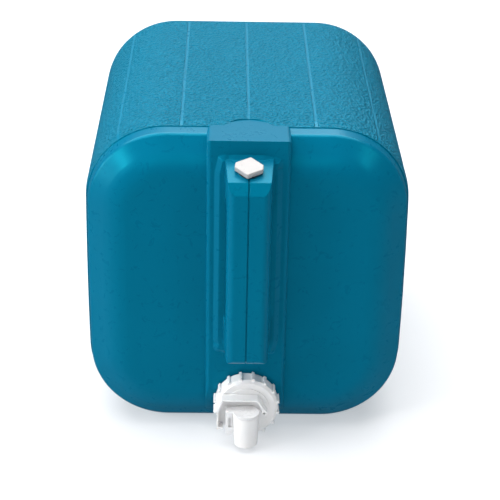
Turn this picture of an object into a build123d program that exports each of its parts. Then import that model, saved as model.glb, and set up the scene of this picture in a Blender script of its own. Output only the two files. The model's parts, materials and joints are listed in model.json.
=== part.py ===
from build123d import *
import math
import os

# A five-gallon water jug lying in its dispensing position. +Z is up, the front faces -Y, and the
# origin is on the resting surface under the middle of the whole object. Millimetres.
# "out" is a distance in front of the spine's face, towards -Y.

# Jug body
body_width = 270.0
body_height = 270.0
side_crown = 2.1
corner_radius = 68.6
spine_front = -140.0
cushion_out = -4.0
body_back = 178.4
wall = 2.2
draft_y = -96.2
shoulder_y = -120.2
shoulder_inset = 2.6
bevel_inset = 24.0
shoulder_radius = 4.0
bevel_radius = 32.0
hollow_edge_radius = 38.0
back_edge_radius = 20.4
texture_front = -107.5
texture_step = 0.8
rim_bulge_radius = 21.0
rim_bulge_y = -114.8

# Trapezoid thread ridges, as shares of their pitch
thread_root_share = 0.25
thread_tip_share = 0.12
thread_embed = 0.4

# Long grooves round the textured band
groove_pitch = 54.7
groove_side_count = 4
groove_radius = 1.6
groove_depth = 0.35
groove_back = 158.5

# Spine, raised panel and handle bar
spine_width = 67.0
spine_depth = 46.0
spine_corner = 3.4
spine_low_radius = 44.0
spine_top_radius = 1.2
spine_brow_radius = 3.2
panel_width = 55.0
panel_low = 75.5
panel_high = 257.5
panel_height = 3.5
panel_taper = 50.0
panel_low_radius = 8.0
panel_high_chamfer = 7.0
bar_x = 0.5
bar_base_width = 39.0
bar_front_width = 33.6
bar_corner = 6.4
bar_low = 82.8
bar_out = 32.0
bar_foot_radius = 5.0
bar_toe_radius = 8.0
bar_brow_radius = 8.0
ramp_foot_radius = 6.0
ramp_top = (2.0, 255.1)
ramp_foot = (27.5, 245.3)
bar_bevel_foot = 235.6
seam_width = 1.0
seam_depth = 0.8

# Finger gap between the panel and the bar
grip_low = 109.0
grip_high = 224.0
grip_floor_out = 3.5
grip_roof_out = 18.5
grip_corner = 7.0

# Spigot neck and screw cap
spigot_x = 1.5
spigot_z = 31.5
neck_bore_radius = 20.8
neck_radius = 22.8
neck_root_out = -24.0
neck_rim_out = 11.5
neck_pitch = 6.0
neck_thread_depth = 1.5
neck_thread_out = 3.6
neck_turns = 1.05
cap_back_out = 2.0
cap_front_out = 15.35
cap_face = 1.85
cap_radius = 26.7
cap_bore_radius = 24.6
cap_female_depth = 1.4
cap_chamfer = 2.4
rib_count = 16
rib_width = 2.4
rib_reach = 28.3
rib_root = 1.0
rib_front_step = 1.0
collar_radius = 14.6
collar_bore_radius = 11.0
collar_back_out = 7.6
running_gap = 0.06
gasket_thickness = 1.9
gasket_gap = 0.05
gasket_edge = 0.3

# Tap
barrel_radius = 10.0
barrel_back_out = 4.4
barrel_groove_radius = 9.2
barrel_ring_out = 10.6
barrel_ring_groove = 2.1
barrel_ring_minor = 0.85
barrel_clip_out = 6.4
barrel_clip_groove = 1.3
barrel_clip_radius = 13.4
clip_thickness = 1.2
clip_gap_angle = 60.0
boss_back_out = 15.5
boss_radius = 19.4
plate_back_out = 16.3
plate_front_out = 18.3
rim_out = 26.0
rim_wall = 1.5
rim_foot_end = -18.2
rim_slant_end = 33.6
housing_outline = (
    (-19.2, 45.7),
    (10.8, 45.7),
    (18.0, 34.0),
    (16.4, 31.6),
    (8.0, 31.6),
    (8.0, 17.3),
    (-23.6, 17.3),
    (-23.4, 35.1),
)
hook_center = (16.5, 33.0)
hook_radius = 2.5
hook_hole_radius = 1.0
shelf_left = 11.9
shelf_out = 23.0
shelf_thickness = 1.8
port_radius = 3.6
port_z = 26.6
seal_back_out = 17.1
seal_radius = 4.9
seal_wall = 1.4
axis_x = 1.1
axis_out = 27.4
tube_top = 33.4
tube_low = 5.6
tube_top_radius = 11.0
tube_low_radius = 10.0
tube_bore_radius = 7.5
tube_mouth_radius = 8.3
tube_shoulder = 12.0

# Turning plug
plug_radius = 7.43
plug_bore_radius = 5.0
plug_low = 9.2
plug_bore_top = 30.4
plug_groove_radius = 6.2
head_radius = 11.0
head_low = 33.7
head_high = 35.7
head_gap = 0.3
arm_back_out = 19.0
tab_reach = 17.2
tab_inner = 11.4
tab_low = 14.0
tab_thickness = 2.6
tab_slot_inner = 12.3
tab_slot_outer = 14.8
tab_slot_low = 20.7
tab_slot_high = 30.5
plug_port_radius = 3.5
plug_groove_width = 1.5
plug_ring_minor = 0.6
plug_ring_heights = {"upper": 32.2, "lower": 19.3}
plug_clip_z = 10.9
plug_clip_groove = 1.3
plug_clip_radius = 8.1

# Vent
vent_out = 14.8
vent_bore_radius = 6.6
vent_female_depth = 0.9
vent_stem_radius = 5.2
vent_thread_depth = 0.95
vent_pitch = 3.0
vent_boss_radius = 9.4
vent_boss_depth = 9.0
vent_bore_run = 18.0
vent_thread_low = -6.9
vent_turns = 1.7
vent_stem_end = -8.0
vent_washer_radius = 8.9
vent_washer_thickness = 1.1
vent_head_low = 1.2
vent_head_height = 4.2
vent_head_half_width = 11.3
vent_head_half_side = 2.6
vent_head_point = 10.5
vent_head_turn = -7.0
vent_head_corner = 1.6
vent_head_edge = 0.9

os.makedirs("parts", exist_ok=True)


def out_y(out):
    """The Y coordinate of a distance in front of the spine's face."""
    return spine_front - out


def front_plane(out, x=0.0, z=0.0):
    """A plane parallel to the front, whose normal points to the viewer."""
    return Plane(origin=(x, out_y(out), z), x_dir=(1, 0, 0), z_dir=(0, -1, 0))


def body_outline(y, inset):
    """The rounded-square outline of the body at a depth, shrunk by inset."""
    half = body_width / 2 - side_crown - inset
    low = inset
    high = body_height - inset
    middle = body_height / 2
    with BuildSketch(Plane.XZ.offset(-y)) as outline:
        with BuildLine():
            Line((-half, low), (half, low))
            ThreePointArc((half, low), (half + side_crown, middle), (half, high))
            Line((half, high), (-half, high))
            ThreePointArc((-half, high), (-half - side_crown, middle), (-half, low))
        make_face()
        fillet(outline.vertices(), corner_radius - inset)
    return outline.sketch


def body_form(inset, back_y, back_radius):
    """The body shrunk by inset: straight sides, a short draft, a crisp shoulder, and a bevel that
    rolls over into the front."""
    front_y = out_y(cushion_out) + inset
    with BuildPart() as form:
        extrude(body_outline(back_y, inset), amount=back_y - draft_y)
        add(body_outline(draft_y, inset))
        add(body_outline(shoulder_y + inset, inset + shoulder_inset))
        loft(ruled=True)
        add(body_outline(shoulder_y + inset, inset + shoulder_inset))
        add(body_outline(front_y, inset + bevel_inset))
        loft(ruled=True)
        fillet(form.edges().filter_by_position(Axis.Y, front_y - 0.1, front_y + 0.1), bevel_radius)
        shoulder = shoulder_y + inset
        fillet(form.edges().filter_by_position(Axis.Y, shoulder - 0.1, shoulder + 0.1), shoulder_radius)
        fillet(form.faces().sort_by(Axis.Y)[-1].edges(), back_radius)
    return form.part


def hollow_form(inset):
    """The plain rounded hollow inside the body."""
    with BuildPart() as form:
        back_y = body_back - wall
        extrude(body_outline(back_y, inset), amount=back_y - out_y(cushion_out - wall))
        fillet(form.faces().sort_by(Axis.Y)[0].edges(), hollow_edge_radius)
        fillet(form.faces().sort_by(Axis.Y)[-1].edges(), back_edge_radius - wall)
    return form.part


def grip_form(growth):
    """The cutter of the finger gap, which runs through under the bar from side to side."""
    with BuildPart() as form:
        with BuildSketch(Plane.YZ) as side:
            middle = ((out_y(grip_floor_out) + out_y(grip_roof_out)) / 2, (grip_low + grip_high) / 2)
            with Locations(middle):
                Rectangle(grip_roof_out - grip_floor_out, grip_high - grip_low)
            fillet(side.vertices(), grip_corner)
            if growth:
                offset(amount=growth)
        extrude(amount=bar_base_width, both=True)
    return form.part


def spine_form(inset):
    """The upright spine, shrunk by inset: its plan cut to its side outline."""
    face = spine_front + inset
    deep = spine_front + spine_depth
    low = texture_step + inset
    high = body_height - texture_step - inset
    half = spine_width / 2 - inset
    with BuildPart() as form:
        with BuildSketch(Plane.XY) as plan:
            with Locations((0, (face + deep) / 2)):
                Rectangle(2 * half, deep - face)
            fillet(plan.vertices().group_by(Axis.Y)[0], spine_corner - inset / 2)
        extrude(amount=body_height)
        with BuildSketch(Plane.YZ.offset(-half)) as side:
            with Locations(((face + deep) / 2, (low + high) / 2)):
                Rectangle(deep - face, high - low)
            lowest = side.vertices().sort_by(Axis.Y)[:2].sort_by(Axis.X)[0]
            highest = side.vertices().sort_by(Axis.Y)[-2:].sort_by(Axis.X)[0]
            fillet(lowest, spine_low_radius - inset)
            fillet(highest, spine_top_radius)
        extrude(amount=2 * half, mode=Mode.INTERSECT)
        with BuildSketch(Plane.XZ.offset(-deep)) as front:
            with Locations((0, (low + high) / 2)):
                Rectangle(2 * half, high - low)
            fillet(front.vertices().group_by(Axis.Z)[-1], spine_brow_radius)
        extrude(amount=deep - face, mode=Mode.INTERSECT)
    return form.part


# Vent axis: it stands on the middle of the ramp, square to it.
ramp_slope = math.atan2(ramp_top[1] - ramp_foot[1], ramp_foot[0] - ramp_top[0])
vent_axis = (0, -math.sin(ramp_slope), math.cos(ramp_slope))
vent_z = ramp_top[1] + (ramp_top[0] - vent_out) * math.tan(ramp_slope)
vent_seat = Vector(0, out_y(vent_out), vent_z)


def ramp_foot_point(inset):
    """Y and Z of the foot of the ramp on the bar shrunk by inset."""
    return (out_y(ramp_foot[0] - inset), ramp_foot[1] - inset)


def bar_form(inset):
    """The handle bar, shrunk by inset: a tapered plan cut to its side outline."""
    front = bar_out - inset
    base = bar_base_width / 2 - inset
    tip = bar_front_width / 2 - inset
    low = bar_low + inset
    with BuildPart() as form:
        with BuildSketch(Plane.XY) as plan:
            with BuildLine():
                Polyline(
                    (bar_x - base, out_y(-inset)),
                    (bar_x - tip, out_y(front)),
                    (bar_x + tip, out_y(front)),
                    (bar_x + base, out_y(-inset)),
                    close=True,
                )
            make_face()
            fillet(plan.vertices().group_by(Axis.Y)[0], bar_corner - inset / 2)
        extrude(amount=body_height)
        with BuildSketch(Plane.YZ.offset(bar_x - base)) as side:
            with BuildLine():
                Polyline(
                    (out_y(-inset), low),
                    (out_y(front), low),
                    (out_y(front), bar_bevel_foot - inset),
                    ramp_foot_point(inset),
                    (out_y(-inset), ramp_top[1] - inset),
                    close=True,
                )
            make_face()
            corners = side.vertices().group_by(Axis.X)[0].sort_by(Axis.Y)
            fillet(corners[0], bar_foot_radius - inset / 2)
            fillet(corners[1], bar_brow_radius)
            foot = side.vertices().sort_by_distance(Vector(bar_x - base, *ramp_foot_point(inset)))[0]
            fillet(foot, ramp_foot_radius)
        extrude(amount=2 * base, mode=Mode.INTERSECT)
        with BuildSketch(front_plane(-inset, bar_x)) as face:
            with Locations((0, (low + body_height) / 2)):
                Rectangle(2 * base, body_height - low)
            fillet(face.vertices().group_by(Axis.Y)[0], bar_toe_radius - inset / 2)
        extrude(amount=front + inset, mode=Mode.INTERSECT)
    return form.part


def seam_form():
    """The cutter of the mould seam down the middle of the bar."""
    with BuildPart() as form:
        add(bar_form(-seam_depth))
        add(bar_form(seam_depth), mode=Mode.SUBTRACT)
        with BuildSketch(front_plane(grip_roof_out, z=ramp_foot[1])):
            Rectangle(seam_width, 2 * (ramp_foot[1] - bar_low))
        extrude(amount=bar_out, mode=Mode.INTERSECT)
    return form.part


def thread(center, direction, radius, pitch, turns, depth, half_turn=False):
    """A trapezoid ridge along a helix. A negative depth points it inwards, and a thread that
    starts half a turn round lies between the ridges of one that doesn't."""
    root = thread_root_share * pitch
    tip = thread_tip_share * pitch
    embed = math.copysign(thread_embed, depth)
    with BuildPart() as ridge:
        with BuildLine() as path:
            Helix(pitch, pitch * turns, radius, center=center, direction=direction)
        start = path.line @ 0
        spoke = start - Vector(*center)
        spoke = spoke - Vector(*direction) * spoke.dot(Vector(*direction))
        with BuildSketch(Plane(origin=start, x_dir=spoke, z_dir=path.line % 0)):
            with BuildLine():
                Polyline((-embed, -root), (-embed, root), (depth, tip), (depth, -tip), close=True)
            make_face()
        sweep(path=path.line, is_frenet=True)
    turned = 180 if half_turn else 0
    return ridge.part.rotate(Axis(center, direction), turned)


def vent_plane(height):
    """A plane square to the vent axis, at a height over the ramp."""
    origin = vent_seat + Vector(*vent_axis) * height
    return Plane(origin=origin, x_dir=(1, 0, 0), z_dir=vent_axis)


def spigot_plane(out):
    """A plane square to the spigot axis."""
    return front_plane(out, spigot_x, spigot_z)


# The hollow inside the jug ------------------------------------------------------------------
with BuildPart() as cavity:
    add(hollow_form(texture_step + wall))
    add(spine_form(wall))
    add(bar_form(wall))
    add(grip_form(wall), mode=Mode.SUBTRACT)

# The textured band that wraps the body behind the smooth front rim --------------------------
with BuildPart() as textured_band:
    add(body_form(0, body_back, back_edge_radius))
    split(bisect_by=Plane.XZ.offset(-texture_front), keep=Keep.BOTTOM)
    with BuildSketch(Plane.XY.offset(body_height - texture_step)):
        with Locations((0, rim_bulge_y)):
            Circle(rim_bulge_radius)
    extrude(amount=2 * texture_step, mode=Mode.SUBTRACT)


def groove_planes():
    """Planes of the long grooves, equally spaced from the middle of the top and of the bottom."""
    loop = body_outline(texture_front, 0).face().outer_wire()
    planes = []
    for height in (0.0, body_height):
        middle = loop.param_at_point(Vector(0, texture_front, height))
        for step in range(-groove_side_count, groove_side_count + 1):
            place = (middle + step * groove_pitch / loop.length) % 1
            outward = (loop.tangent_at(place)).cross(Vector(0, 1, 0))
            point = loop.position_at(place)
            if outward.dot(point - Vector(0, texture_front, body_height / 2)) < 0:
                outward = -outward
            planes.append(Plane(origin=point, x_dir=outward, z_dir=(0, 1, 0)))
    return planes


# Jug shell ----------------------------------------------------------------------------------
with BuildPart() as jug_shell:
    add(body_form(texture_step, body_back - 2 * texture_step, back_edge_radius))
    add(textured_band.part)
    for groove in groove_planes():
        with BuildSketch(groove):
            with Locations((groove_radius - groove_depth, 0)):
                Circle(groove_radius)
        extrude(amount=groove_back - texture_front, mode=Mode.SUBTRACT)
    add(spine_form(0))
    with BuildSketch(front_plane(0, z=(panel_low + panel_high) / 2)) as panel:
        Rectangle(panel_width, panel_high - panel_low)
        fillet(panel.vertices().group_by(Axis.Z)[0], panel_low_radius)
        chamfer(panel.vertices().group_by(Axis.Z)[-1], panel_high_chamfer)
    extrude(amount=panel_height, taper=panel_taper)
    add(bar_form(0))
    add(grip_form(0), mode=Mode.SUBTRACT)
    add(seam_form(), mode=Mode.SUBTRACT)
    with BuildSketch(spigot_plane(neck_root_out)):
        Circle(neck_radius)
    extrude(amount=neck_rim_out - neck_root_out)
    add(cavity.part, mode=Mode.SUBTRACT)
    with BuildSketch(spigot_plane(neck_root_out)):
        Circle(neck_bore_radius)
    extrude(amount=neck_rim_out - neck_root_out, mode=Mode.SUBTRACT)
    with BuildSketch(vent_plane(-vent_boss_depth)):
        Circle(vent_boss_radius)
    extrude(amount=vent_boss_depth)
    with BuildSketch(vent_plane(0)):
        Circle(vent_bore_radius)
    extrude(amount=vent_bore_run, both=True, mode=Mode.SUBTRACT)
    add(thread(
        (spigot_x, out_y(neck_thread_out), spigot_z),
        (0, -1, 0),
        neck_radius,
        neck_pitch,
        neck_turns,
        neck_thread_depth,
    ))
    add(thread(
        tuple(vent_plane(vent_thread_low).origin),
        vent_axis,
        vent_bore_radius,
        vent_pitch,
        vent_turns,
        -vent_female_depth,
    ))
jug_shell.part.label = "jug_shell"
export_step(jug_shell.part, "parts/jug_shell.step")

# Screw cap ----------------------------------------------------------------------------------
with BuildPart() as screw_cap:
    with BuildSketch(spigot_plane(cap_back_out)):
        Circle(cap_radius)
    extrude(amount=cap_front_out - cap_back_out)
    chamfer(screw_cap.faces().sort_by(Axis.Y)[0].edges(), cap_chamfer)
    with BuildSketch(spigot_plane(cap_back_out)):
        with PolarLocations(
            (cap_radius + rib_reach) / 2 - rib_root,
            rib_count,
            start_angle=180.0 / rib_count,
        ):
            Rectangle(rib_reach - cap_radius + 2 * rib_root, rib_width)
    extrude(amount=cap_front_out - cap_back_out - cap_chamfer + rib_front_step)
    with BuildSketch(spigot_plane(cap_back_out)):
        Circle(cap_bore_radius)
    extrude(amount=cap_front_out - cap_back_out - cap_face, mode=Mode.SUBTRACT)
    with BuildSketch(spigot_plane(collar_back_out)):
        Circle(collar_radius)
    extrude(amount=cap_front_out - cap_face - collar_back_out)
    with BuildSketch(spigot_plane(collar_back_out)):
        Circle(collar_bore_radius)
    extrude(amount=cap_front_out - cap_face - collar_back_out, mode=Mode.SUBTRACT)
    with BuildSketch(spigot_plane(cap_back_out)):
        Circle(barrel_radius + running_gap)
    extrude(amount=cap_front_out - cap_back_out, mode=Mode.SUBTRACT)
    add(thread(
        (spigot_x, out_y(neck_thread_out), spigot_z),
        (0, -1, 0),
        cap_bore_radius,
        neck_pitch,
        neck_turns,
        -cap_female_depth,
        half_turn=True,
    ))
screw_cap.part.label = "screw_cap"
export_step(screw_cap.part, "parts/screw_cap.step")

with BuildPart() as cap_gasket:
    with BuildSketch(spigot_plane(neck_rim_out + gasket_gap)):
        Circle(cap_bore_radius - 2 * gasket_gap)
        Circle(neck_bore_radius, mode=Mode.SUBTRACT)
    extrude(amount=gasket_thickness)
    fillet(cap_gasket.edges().filter_by(GeomType.CIRCLE), gasket_edge)
cap_gasket.part.label = "cap_gasket"
export_step(cap_gasket.part, "parts/cap_gasket.step")

# Tap ----------------------------------------------------------------------------------------
axis_y = out_y(axis_out)


def outlet_plane(height):
    """A level plane on the upright axis of the outlet tube."""
    return Plane(origin=(axis_x, axis_y, height))


def ring_groove(plane, radius, floor, width):
    """A square groove round a cylinder, centred on the plane."""
    with BuildPart() as groove:
        with BuildSketch(plane):
            Circle(radius)
            Circle(floor, mode=Mode.SUBTRACT)
        extrude(amount=width / 2, both=True)
    return groove.part


def o_ring(plane, floor, minor):
    """A rubber ring lying in a groove."""
    with BuildPart() as ring:
        with Locations(plane):
            Torus(floor + minor + gasket_gap / 2, minor)
    return ring.part


def spring_clip(plane, inner, outer):
    """A flat open ring that snaps into a groove."""
    with BuildPart() as clip:
        with BuildSketch(plane):
            Circle(outer)
            Circle(inner, mode=Mode.SUBTRACT)
            with BuildLine():
                reach = 2 * outer
                spread = math.radians(clip_gap_angle / 2)
                edge = (reach * math.sin(spread), -reach * math.cos(spread))
                Polyline((0, 0), edge, (-edge[0], edge[1]), close=True)
            make_face(mode=Mode.SUBTRACT)
        extrude(amount=clip_thickness / 2, both=True)
    return clip.part


with BuildPart() as tap_body:
    with BuildSketch(spigot_plane(barrel_back_out)):
        Circle(barrel_radius)
    extrude(amount=plate_front_out - barrel_back_out)
    with BuildSketch(spigot_plane(boss_back_out)):
        Circle(boss_radius)
    extrude(amount=plate_back_out - boss_back_out)
    with BuildSketch(front_plane(plate_back_out)):
        with BuildLine():
            Polyline(*housing_outline, close=True)
        make_face()
    extrude(amount=rim_out - plate_back_out)
    with BuildSketch(front_plane(plate_front_out)):
        with BuildLine():
            Polyline(*housing_outline, close=True)
        make_face()
        offset(amount=-rim_wall, kind=Kind.INTERSECTION, mode=Mode.REPLACE)
        with Locations((rim_foot_end, 0)):
            Rectangle(body_width, rim_slant_end, align=(Align.MIN, Align.MIN))
    extrude(amount=rim_out - plate_front_out, mode=Mode.SUBTRACT)
    with BuildSketch(front_plane(plate_front_out)):
        with Locations(hook_center):
            Circle(hook_radius)
        with Locations((shelf_left, rim_slant_end - shelf_thickness)):
            Rectangle(
                hook_center[0] - shelf_left,
                shelf_thickness,
                align=(Align.MIN, Align.MIN),
            )
    extrude(amount=shelf_out - plate_front_out)
    with BuildSketch(front_plane(shelf_out)):
        with Locations(hook_center):
            Circle(hook_radius)
    extrude(amount=rim_out - shelf_out)
    with BuildSketch(front_plane(plate_front_out)):
        with Locations(hook_center):
            Circle(hook_hole_radius)
    extrude(amount=rim_out - plate_front_out, mode=Mode.SUBTRACT)
    with BuildSketch(outlet_plane(tube_low)):
        Circle(tube_low_radius)
    with BuildSketch(outlet_plane(tube_top)):
        Circle(tube_top_radius)
    loft()
    with BuildSketch(outlet_plane(head_low - head_gap)):
        Circle(head_radius + head_gap)
    extrude(amount=head_high - head_low + 2 * head_gap, mode=Mode.SUBTRACT)
    with BuildSketch(outlet_plane(tube_low)):
        Circle(tube_bore_radius)
    extrude(amount=tube_top - tube_low, mode=Mode.SUBTRACT)
    with BuildSketch(outlet_plane(tube_low)):
        Circle(tube_mouth_radius)
    extrude(amount=tube_shoulder - tube_low, mode=Mode.SUBTRACT)
    with BuildSketch(front_plane(barrel_back_out, axis_x, port_z)):
        Circle(port_radius)
    extrude(amount=axis_out - barrel_back_out, mode=Mode.SUBTRACT)
    with BuildSketch(front_plane(seal_back_out, axis_x, port_z)):
        Circle(seal_radius)
    extrude(amount=axis_out - seal_back_out, mode=Mode.SUBTRACT)
    add(ring_groove(
        spigot_plane(barrel_ring_out),
        barrel_radius + gasket_gap,
        barrel_groove_radius,
        barrel_ring_groove,
    ), mode=Mode.SUBTRACT)
    add(ring_groove(
        spigot_plane(barrel_clip_out),
        barrel_radius + gasket_gap,
        barrel_groove_radius,
        barrel_clip_groove,
    ), mode=Mode.SUBTRACT)
tap_body.part.label = "tap_body"
export_step(tap_body.part, "parts/tap_body.step")

with BuildPart() as barrel_o_ring:
    add(o_ring(spigot_plane(barrel_ring_out), barrel_groove_radius, barrel_ring_minor))
barrel_o_ring.part.label = "barrel_o_ring"
export_step(barrel_o_ring.part, "parts/barrel_o_ring.step")

with BuildPart() as barrel_clip:
    add(spring_clip(
        spigot_plane(barrel_clip_out),
        barrel_groove_radius + gasket_gap,
        barrel_clip_radius,
    ))
barrel_clip.part.label = "barrel_clip"
export_step(barrel_clip.part, "parts/barrel_clip.step")

with BuildPart() as port_seal:
    with BuildSketch(front_plane(seal_back_out, axis_x, port_z)):
        Circle(seal_radius - gasket_gap)
        Circle(seal_radius - seal_wall, mode=Mode.SUBTRACT)
    extrude(amount=axis_out - seal_back_out)
    with BuildSketch(outlet_plane(tube_low)):
        Circle(tube_bore_radius)
    extrude(amount=tube_top - tube_low, mode=Mode.SUBTRACT)
port_seal.part.label = "port_seal"
export_step(port_seal.part, "parts/port_seal.step")

# Turning plug -------------------------------------------------------------------------------
with BuildPart() as valve_plug:
    with BuildSketch(outlet_plane(plug_low)):
        Circle(plug_radius)
    extrude(amount=head_low - plug_low)
    with BuildSketch(outlet_plane(head_low)):
        Circle(head_radius)
        with Locations((-tab_reach, -tab_thickness / 2)):
            Rectangle(
                tab_reach,
                axis_out - arm_back_out + tab_thickness / 2,
                align=(Align.MIN, Align.MIN),
            )
    extrude(amount=head_high - head_low)
    with BuildSketch(front_plane(axis_out - tab_thickness / 2, axis_x)):
        with Locations((-tab_reach, tab_low)):
            Rectangle(tab_reach - tab_inner, head_high - tab_low, align=(Align.MIN, Align.MIN))
        with Locations((-tab_slot_outer, tab_slot_low)):
            Rectangle(
                tab_slot_outer - tab_slot_inner,
                tab_slot_high - tab_slot_low,
                align=(Align.MIN, Align.MIN),
                mode=Mode.SUBTRACT,
            )
    extrude(amount=tab_thickness)
    with BuildSketch(outlet_plane(plug_low)):
        Circle(plug_bore_radius)
    extrude(amount=plug_bore_top - plug_low, mode=Mode.SUBTRACT)
    with BuildSketch(Plane.YZ.offset(axis_x)):
        with Locations((axis_y, port_z)):
            Circle(plug_port_radius)
    extrude(amount=head_radius, mode=Mode.SUBTRACT)
    for ring_z in plug_ring_heights.values():
        add(ring_groove(
            outlet_plane(ring_z),
            plug_radius + gasket_gap,
            plug_groove_radius,
            plug_groove_width,
        ), mode=Mode.SUBTRACT)
    add(ring_groove(
        outlet_plane(plug_clip_z),
        plug_radius + gasket_gap,
        plug_groove_radius,
        plug_clip_groove,
    ), mode=Mode.SUBTRACT)
valve_plug.part.label = "valve_plug"
export_step(valve_plug.part, "parts/valve_plug.step")

for place, ring_z in plug_ring_heights.items():
    with BuildPart() as plug_o_ring:
        add(o_ring(outlet_plane(ring_z), plug_groove_radius, plug_ring_minor))
    plug_o_ring.part.label = f"plug_o_ring_{place}"
    export_step(plug_o_ring.part, f"parts/plug_o_ring_{place}.step")

with BuildPart() as plug_clip:
    add(spring_clip(
        outlet_plane(plug_clip_z),
        plug_groove_radius + gasket_gap,
        plug_clip_radius,
    ))
plug_clip.part.label = "plug_clip"
export_step(plug_clip.part, "parts/plug_clip.step")

# Vent cap -----------------------------------------------------------------------------------
with BuildPart() as vent_cap:
    with BuildSketch(vent_plane(vent_head_low)) as head:
        with BuildLine(Rotation(0, 0, vent_head_turn)):
            Polyline(
                (vent_head_half_width, vent_head_half_side),
                (0, vent_head_point),
                (-vent_head_half_width, vent_head_half_side),
                (-vent_head_half_width, -vent_head_half_side),
                (0, -vent_head_point),
                (vent_head_half_width, -vent_head_half_side),
                close=True,
            )
        make_face()
        fillet(head.vertices(), vent_head_corner)
    extrude(amount=vent_head_height)
    fillet(vent_cap.faces().sort_by(Axis(vent_seat, vent_axis))[-1].edges(), vent_head_edge)
    with BuildSketch(vent_plane(vent_stem_end)):
        Circle(vent_stem_radius)
    extrude(amount=vent_head_low - vent_stem_end)
    add(thread(
        tuple(vent_plane(vent_thread_low).origin),
        vent_axis,
        vent_stem_radius,
        vent_pitch,
        vent_turns,
        vent_thread_depth,
        half_turn=True,
    ))
vent_cap.part.label = "vent_cap"
export_step(vent_cap.part, "parts/vent_cap.step")

with BuildPart() as vent_gasket:
    with BuildSketch(vent_plane(gasket_gap)):
        Circle(vent_washer_radius)
        Circle(vent_bore_radius + gasket_gap, mode=Mode.SUBTRACT)
    extrude(amount=vent_washer_thickness)
vent_gasket.part.label = "vent_gasket"
export_step(vent_gasket.part, "parts/vent_gasket.step")
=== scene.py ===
import json
import math

import bpy
from mathutils import Matrix, Vector

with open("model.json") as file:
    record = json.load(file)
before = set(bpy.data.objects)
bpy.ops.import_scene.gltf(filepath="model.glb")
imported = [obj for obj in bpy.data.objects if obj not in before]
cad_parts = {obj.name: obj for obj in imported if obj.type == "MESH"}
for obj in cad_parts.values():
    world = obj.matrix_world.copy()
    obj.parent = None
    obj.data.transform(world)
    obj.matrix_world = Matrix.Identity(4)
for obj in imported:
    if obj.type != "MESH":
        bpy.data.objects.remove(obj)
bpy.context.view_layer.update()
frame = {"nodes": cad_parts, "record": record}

NODES = frame["nodes"]
SCENE = bpy.context.scene

MM = 0.001

# Sizes of the jug's body, repeated from the CAD so that the pebbled band and the painted highlight
# in the grooves fall where the mesh has them.
BODY_HALF = 135.0 * MM
SIDE_CROWN = 2.1 * MM
CORNER_RADIUS = 68.6 * MM
FLAT_HALF_X = BODY_HALF - SIDE_CROWN - CORNER_RADIUS
FLAT_HALF_Z = BODY_HALF - CORNER_RADIUS
GROOVE_PITCH = 54.7 * MM
GROOVE_HALF = 1.0 * MM
GROOVE_BACK = 158.5 * MM
TEXTURE_FRONT = -107.5 * MM
TONGUE_CENTER_Y = -114.8 * MM
TONGUE_RADIUS = 21.0 * MM

# Where the pebbles fade in behind the rim and out before the back.
RIM_FADE = (0.4 * MM, 1.4 * MM)
BACK_FADE = (172.0 * MM, 168.0 * MM)
EDGE_FADE = 1.0 * MM
GROOVE_FADE = 1.8

# The pebbles' height is a sum of two textures, less its mean, so the band neither swells nor sinks.
PEBBLE_CELLS = 0.9
PEBBLE_NOISE = 1.3
PEBBLE_MEAN = 0.95
PEBBLE_DEPTH = 2.6 * MM
WAVE_DEPTH = 1.2 * MM
GRAIN_DEPTH = 0.05 * MM
JUG_EDGE = 1.0 * MM
MOULDED_EDGE = 0.35 * MM

TEAL_DEEP = (0.0004, 0.121, 0.215)
TEAL = (0.0005, 0.133, 0.234)
# The pebble colour is laid on the pebble tops: painted highlight on the tops and painted shade in
# the hollows.
TEAL_PAINTED_PEBBLE_LIGHT = (0.0040, 0.172, 0.285)
# The groove colour is a paler teal painted into the smooth grooves: a painted highlight for the
# lamps' reflection off their floors.
TEAL_GROOVE_HIGHLIGHT = (0.004, 0.185, 0.305)
TEAL_GLOSS = (0.0, 0.85, 1.0, 1.0)
WHITE = (0.89, 0.89, 0.89)
VALVE_WHITE = (0.85, 0.852, 0.86)
# The vent cap's white is a slightly warm white, darkened to grey as painted shade that offsets the
# strong light from above.
WARM_VENT_WHITE_WITH_PAINTED_SHADE = (0.41, 0.40, 0.395)
CLIP_WHITE = (0.70, 0.70, 0.63)
RUBBER = (0.010, 0.010, 0.011)
RUBBER_BLOOM = (0.028, 0.028, 0.030)

FLOOR_GREY = (0.48, 0.48, 0.49, 1.0)
STUDIO_GLOW = (0.93, 0.97, 1.0, 1.0)
NEAR_GLOW = 0.46
FAR_GLOW = 1.0
GLOW_START = 0.5
GLOW_END = 3.0
STUDIO_REACH = 12.0
WALL_SIDES = 48
WORLD_STRENGTH = 0.06


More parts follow.
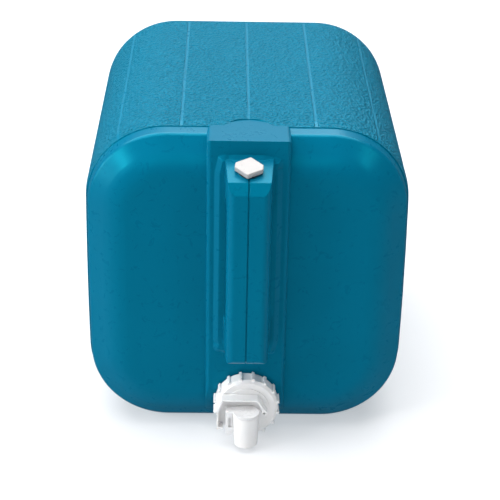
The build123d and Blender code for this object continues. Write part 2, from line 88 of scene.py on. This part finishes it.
# Shader helpers -----------------------------------------------------------------------------
class Shader:
    """A material under construction, with short calls for the nodes it needs."""

    def __init__(self, name):
        self.material = bpy.data.materials.new(name)
        self.material.use_nodes = True
        self.tree = self.material.node_tree
        self.principled = self.tree.nodes["Principled BSDF"]
        self.coords = self.add("ShaderNodeTexCoord").outputs["Object"]

    def add(self, kind, **settings):
        node = self.tree.nodes.new(kind)
        for key, value in settings.items():
            setattr(node, key, value)
        return node

    def feed(self, socket, value):
        """Link a node's output to the socket, or set the socket to a plain value."""
        if isinstance(value, bpy.types.NodeSocket):
            self.tree.links.new(value, socket)
        else:
            socket.default_value = value

    def math(self, operation, *values):
        node = self.add("ShaderNodeMath", operation=operation)
        for socket, value in zip(node.inputs, values):
            self.feed(socket, value)
        return node.outputs[0]

    def product(self, first, second):
        return self.math("MULTIPLY", first, second)

    def step(self, value, low, high):
        """0 below low, 1 above high and smooth between them; low may be the greater."""
        node = self.add("ShaderNodeMapRange", interpolation_type="SMOOTHSTEP")
        self.feed(node.inputs["Value"], value)
        flip = low > high
        node.inputs["From Min"].default_value = min(low, high)
        node.inputs["From Max"].default_value = max(low, high)
        node.inputs["To Min"].default_value = 1.0 if flip else 0.0
        node.inputs["To Max"].default_value = 0.0 if flip else 1.0
        return node.outputs["Result"]

    def remap(self, value, low, high, to_low=0.0, to_high=1.0):
        node = self.add("ShaderNodeMapRange")
        self.feed(node.inputs["Value"], value)
        for name, number in (("From Min", low), ("From Max", high),
                             ("To Min", to_low), ("To Max", to_high)):
            node.inputs[name].default_value = number
        return node.outputs["Result"]

    def noise(self, scale, detail, roughness, distortion=0.0):
        node = self.add("ShaderNodeTexNoise")
        self.feed(node.inputs["Vector"], self.coords)
        node.inputs["Scale"].default_value = scale
        node.inputs["Detail"].default_value = detail
        node.inputs["Roughness"].default_value = roughness
        node.inputs["Distortion"].default_value = distortion
        return node.outputs["Fac"]

    def cells(self, scale, smoothness):
        node = self.add("ShaderNodeTexVoronoi", feature="SMOOTH_F1")
        self.feed(node.inputs["Vector"], self.coords)
        node.inputs["Scale"].default_value = scale
        node.inputs["Smoothness"].default_value = smoothness
        return node.outputs["Distance"]

    def blend(self, factor, first, second):
        node = self.add("ShaderNodeMix", data_type="RGBA")
        self.feed(node.inputs["Factor"], factor)
        for socket, color in ((node.inputs[6], first), (node.inputs[7], second)):
            if isinstance(color, bpy.types.NodeSocket):
                self.tree.links.new(color, socket)
            else:
                socket.default_value = (*color, 1.0)
        return node.outputs[2]

    def bump(self, height, strength, distance, normal=None):
        node = self.add("ShaderNodeBump")
        self.feed(node.inputs["Height"], height)
        self.feed(node.inputs["Strength"], strength)
        node.inputs["Distance"].default_value = distance
        if normal is not None:
            self.tree.links.new(normal, node.inputs["Normal"])
        return node.outputs["Normal"]

    def soft_edges(self, radius):
        node = self.add("ShaderNodeBevel", samples=8)
        node.inputs["Radius"].default_value = radius
        return node.outputs["Normal"]

    def set(self, **sockets):
        """Feed the shader's sockets; an underscore in a name stands for a space."""
        for name, value in sockets.items():
            self.feed(self.principled.inputs[name.replace("_", " ")], value)


# Materials ----------------------------------------------------------------------------------
def off_groove_mask(shader, x, y, z):
    """1 away from the long grooves and 0 in them, by the distance round the body's outline."""
    side_x = shader.math("ABSOLUTE", x)
    side_z = shader.math("ABSOLUTE", shader.math("SUBTRACT", z, BODY_HALF))
    past_x = shader.math("SUBTRACT", side_x, FLAT_HALF_X)
    past_z = shader.math("SUBTRACT", side_z, FLAT_HALF_Z)
    turn = shader.math("ARCTAN2", shader.math("MAXIMUM", past_x, 0.0),
                       shader.math("MAXIMUM", past_z, 1e-6))
    along = shader.math("ADD", shader.math("MINIMUM", side_x, FLAT_HALF_X),
                        shader.product(turn, CORNER_RADIUS))
    along = shader.math("SUBTRACT", along, shader.math("MINIMUM", past_z, 0.0))
    from_groove = shader.math("PINGPONG", along, GROOVE_PITCH / 2)
    beside = shader.step(from_groove, GROOVE_HALF, GROOVE_HALF * GROOVE_FADE)
    return shader.math("MAXIMUM", beside, shader.step(y, GROOVE_BACK, GROOVE_BACK + EDGE_FADE))


def behind_front_mask(shader, x, y):
    """1 behind the smooth front rim and the round tongue it sends back over the top."""
    behind_rim = shader.step(y, TEXTURE_FRONT + RIM_FADE[0], TEXTURE_FRONT + RIM_FADE[1])
    flat = shader.add("ShaderNodeCombineXYZ")
    shader.feed(flat.inputs[0], x)
    shader.feed(flat.inputs[1], y)
    reach = shader.add("ShaderNodeVectorMath", operation="DISTANCE")
    shader.feed(reach.inputs[0], flat.outputs[0])
    reach.inputs[1].default_value = (0.0, TONGUE_CENTER_Y, 0.0)
    off_tongue = shader.step(reach.outputs["Value"], TONGUE_RADIUS, TONGUE_RADIUS + EDGE_FADE)
    return shader.product(behind_rim, off_tongue)


def jug_material():
    """Teal blow-moulded polyethylene: satin on the front, pebbled on the band behind it."""
    shader = Shader("jug_plastic")
    split = shader.add("ShaderNodeSeparateXYZ")
    shader.feed(split.inputs[0], shader.coords)
    x, y, z = split.outputs
    off_groove = off_groove_mask(shader, x, y, z)
    behind_front = behind_front_mask(shader, x, y)
    band = shader.product(behind_front, shader.product(off_groove, shader.step(y, *BACK_FADE)))

    pebble = shader.math(
        "ADD",
        shader.product(shader.cells(360.0, smoothness=0.3), PEBBLE_CELLS),
        shader.product(shader.noise(330.0, 3.0, 0.65, distortion=0.5), PEBBLE_NOISE),
    )
    pebble = shader.product(shader.math("SUBTRACT", pebble, PEBBLE_MEAN), band)
    normal = shader.soft_edges(JUG_EDGE)
    normal = shader.bump(shader.noise(11.0, 2.0, 0.4), 0.10, WAVE_DEPTH, normal)
    normal = shader.bump(pebble, 1.0, PEBBLE_DEPTH, normal)

    patch = shader.remap(shader.noise(5.5, 3.0, 0.5), 0.3, 0.7)
    # Painted light on the pebbling: tops are painted lighter and hollows darker, following the same
    # height as the bump.
    pebble_painted_light = shader.product(shader.remap(pebble, -0.35, 0.35), band)
    # Painted highlight in the grooves: their floors are painted paler to offset the shade on their
    # walls.
    groove_highlight_mask = shader.product(behind_front, shader.math("SUBTRACT", 1.0, off_groove))
    color = shader.blend(patch, TEAL_DEEP, TEAL)
    color = shader.blend(shader.product(pebble_painted_light, 0.6), color, TEAL_PAINTED_PEBBLE_LIGHT)
    color = shader.blend(shader.product(groove_highlight_mask, 0.55), color, TEAL_GROOVE_HIGHLIGHT)

    scuffs = shader.noise(90.0, 6.0, 0.7, distortion=1.5)
    rough = shader.math("ADD", shader.remap(scuffs, 0.3, 0.75, 0.265, 0.305),
                        shader.product(band, 0.16))
    shader.set(Base_Color=color, Roughness=rough, IOR=1.5, Normal=normal,
               Specular_IOR_Level=0.40, Specular_Tint=TEAL_GLOSS)
    return shader.material


def white_material(name, tint, roughness, grain_scale):
    """White injection-moulded plastic with a faint mould grain and handling marks."""
    shader = Shader(name)
    patch = shader.remap(shader.noise(38.0, 3.0, 0.5), 0.35, 0.75)
    marks = shader.noise(210.0, 6.0, 0.7, distortion=1.0)
    color = shader.blend(patch, tint, tuple(0.93 * channel for channel in tint))
    normal = shader.soft_edges(MOULDED_EDGE)
    normal = shader.bump(shader.noise(grain_scale, 2.0, 0.5), 0.15, GRAIN_DEPTH, normal)
    rough = shader.remap(marks, 0.3, 0.75, roughness - 0.05, roughness + 0.1)
    shader.set(Base_Color=color, Roughness=rough, IOR=1.49, Normal=normal,
               Subsurface_Weight=0.15, Subsurface_Radius=(1.0, 0.9, 0.8),
               Subsurface_Scale=1.2 * MM)
    return shader.material


def rubber_material():
    """Black nitrile rubber with a fine moulded grain."""
    shader = Shader("seal_rubber")
    bloom = shader.noise(160.0, 5.0, 0.6)
    color = shader.blend(shader.remap(bloom, 0.35, 0.8), RUBBER, RUBBER_BLOOM)
    normal = shader.bump(shader.noise(2400.0, 2.0, 0.5), 0.2, GRAIN_DEPTH)
    rough = shader.remap(bloom, 0.3, 0.8, 0.55, 0.75)
    shader.set(Base_Color=color, Roughness=rough, Normal=normal)
    return shader.material


MATERIALS = {
    "jug_plastic": jug_material(),
    "cap_plastic": white_material("cap_plastic", WHITE, 0.36, 1500.0),
    "tap_plastic": white_material("tap_plastic", WHITE, 0.34, 1700.0),
    "valve_plastic": white_material("valve_plastic", VALVE_WHITE, 0.27, 1900.0),
    # The vent cap's plastic is darkened as painted shade against the overhead light.
    "vent_plastic": white_material("vent_plastic", WARM_VENT_WHITE_WITH_PAINTED_SHADE, 0.30, 1800.0),
    "clip_plastic": white_material("clip_plastic", CLIP_WHITE, 0.40, 1500.0),
    "seal_rubber": rubber_material(),
}

for part in frame["record"]["subparts"]:
    mesh = NODES[part["node"]].data
    mesh.materials.clear()
    mesh.materials.append(MATERIALS[part["material_slot"]])


# Floor, wall and world ------------------------------------------------------------------------
def floor_material():
    """Matt pale grey that glows more with distance, so the floor fades into the wall."""
    shader = Shader("studio_floor")
    reach = shader.add("ShaderNodeVectorMath", operation="LENGTH")
    shader.feed(reach.inputs[0], shader.coords)
    glow = shader.remap(reach.outputs["Value"], GLOW_START, GLOW_END, NEAR_GLOW, FAR_GLOW)
    shader.set(Base_Color=FLOOR_GREY, Roughness=0.9, Specular_IOR_Level=0.1,
               Emission_Color=STUDIO_GLOW, Emission_Strength=glow)
    return shader.material


def wall_material():
    """Plain white light with no shading of its own."""
    shader = Shader("studio_wall")
    shader.set(Base_Color=(0.0, 0.0, 0.0, 1.0), Specular_IOR_Level=0.0,
               Emission_Color=STUDIO_GLOW, Emission_Strength=FAR_GLOW)
    return shader.material


def stage_piece(name, vertices, faces, material):
    """A piece of the studio, which is not part of the object."""
    mesh = bpy.data.meshes.new(name)
    mesh.from_pydata(vertices, [], faces)
    piece = bpy.data.objects.new(name, mesh)
    piece.data.materials.append(material)
    SCENE.collection.objects.link(piece)
    return piece


floor_corners = [(-STUDIO_REACH, -STUDIO_REACH, 0.0), (STUDIO_REACH, -STUDIO_REACH, 0.0),
                 (STUDIO_REACH, STUDIO_REACH, 0.0), (-STUDIO_REACH, STUDIO_REACH, 0.0)]
floor = stage_piece("studio_floor", floor_corners, [(0, 1, 2, 3)], floor_material())
floor.visible_glossy = False

# The wall goes all round and only the camera sees it, so the horizon is pale from every side.
wall_angles = [2 * math.pi * side / WALL_SIDES for side in range(WALL_SIDES)]
wall_corners = [(STUDIO_REACH * math.cos(angle), STUDIO_REACH * math.sin(angle), height)
                for height in (0.0, STUDIO_REACH) for angle in wall_angles]
wall_faces = []
for side in range(WALL_SIDES):
    following = (side + 1) % WALL_SIDES
    wall_faces.append((side, following, following + WALL_SIDES, side + WALL_SIDES))
wall = stage_piece("studio_wall", wall_corners, wall_faces, wall_material())
wall.visible_diffuse = False
wall.visible_glossy = False
wall.visible_transmission = False
wall.visible_shadow = False

world = bpy.data.worlds.new("studio_world")
world.use_nodes = True
background = world.node_tree.nodes["Background"]
background.inputs["Color"].default_value = (1.0, 1.0, 1.0, 1.0)
background.inputs["Strength"].default_value = WORLD_STRENGTH
SCENE.world = world


# Lights -----------------------------------------------------------------------------------------
def softbox(name, position, target, size, power):
    """A rectangular light that faces its target."""
    data = bpy.data.lights.new(name, "AREA")
    data.shape = "RECTANGLE"
    data.size, data.size_y = size
    data.energy = power
    lamp = bpy.data.objects.new(name, data)
    aim = Vector(target) - Vector(position)
    lamp.matrix_world = (Matrix.Translation(position)
                         @ aim.to_track_quat("-Z", "Y").to_matrix().to_4x4())
    SCENE.collection.objects.link(lamp)


CENTER = (0.0, 0.0, 0.13)
softbox("overhead_box", (-0.2, 0.6, 2.2), (0.0, 0.25, 0.0), (3.2, 2.6), 132.0)
softbox("left_box", (-2.1, -0.5, 0.8), CENTER, (0.9, 0.9), 26.0)
softbox("left_front_box", (-1.6, -1.1, 1.15), CENTER, (0.4, 0.4), 11.0)
softbox("right_front_box", (1.4, -1.25, 1.35), CENTER, (0.14, 0.6), 4.5)
softbox("front_box", (-0.3, -2.3, 1.5), CENTER, (2.0, 1.2), 11.0)
softbox("back_box", (0.0, 2.8, 1.25), CENTER, (2.6, 1.0), 4.0)

# Camera: in front of the jug and above it, looking down, with a slight turn and roll ------------
CAMERA_POSITION = Vector((-19.58, -1284.86, 737.18)) * MM
PITCH = math.radians(26.21)
YAW = -0.019
ROLL = -0.020
FOCAL_LENGTH = 112.6
SENSOR_WIDTH = 36.0

right = Vector((math.cos(YAW), math.sin(YAW), 0.0))
ahead = Vector((-math.sin(YAW), math.cos(YAW), 0.0))
up = Vector((0.0, 0.0, 1.0))
rise = ahead * math.sin(PITCH) + up * math.cos(PITCH)
look = ahead * math.cos(PITCH) - up * math.sin(PITCH)
local_x = right * math.cos(ROLL) - rise * math.sin(ROLL)
local_y = right * math.sin(ROLL) + rise * math.cos(ROLL)
facing = Matrix((local_x, local_y, -look)).transposed()

lens = bpy.data.cameras.new("photo_camera")
lens.lens = FOCAL_LENGTH
lens.sensor_width = SENSOR_WIDTH
camera = bpy.data.objects.new("photo_camera", lens)
camera.matrix_world = Matrix.Translation(CAMERA_POSITION) @ facing.to_4x4()
SCENE.collection.objects.link(camera)
SCENE.camera = camera

SCENE.view_settings.view_transform = "Standard"
SCENE.view_settings.look = "None"
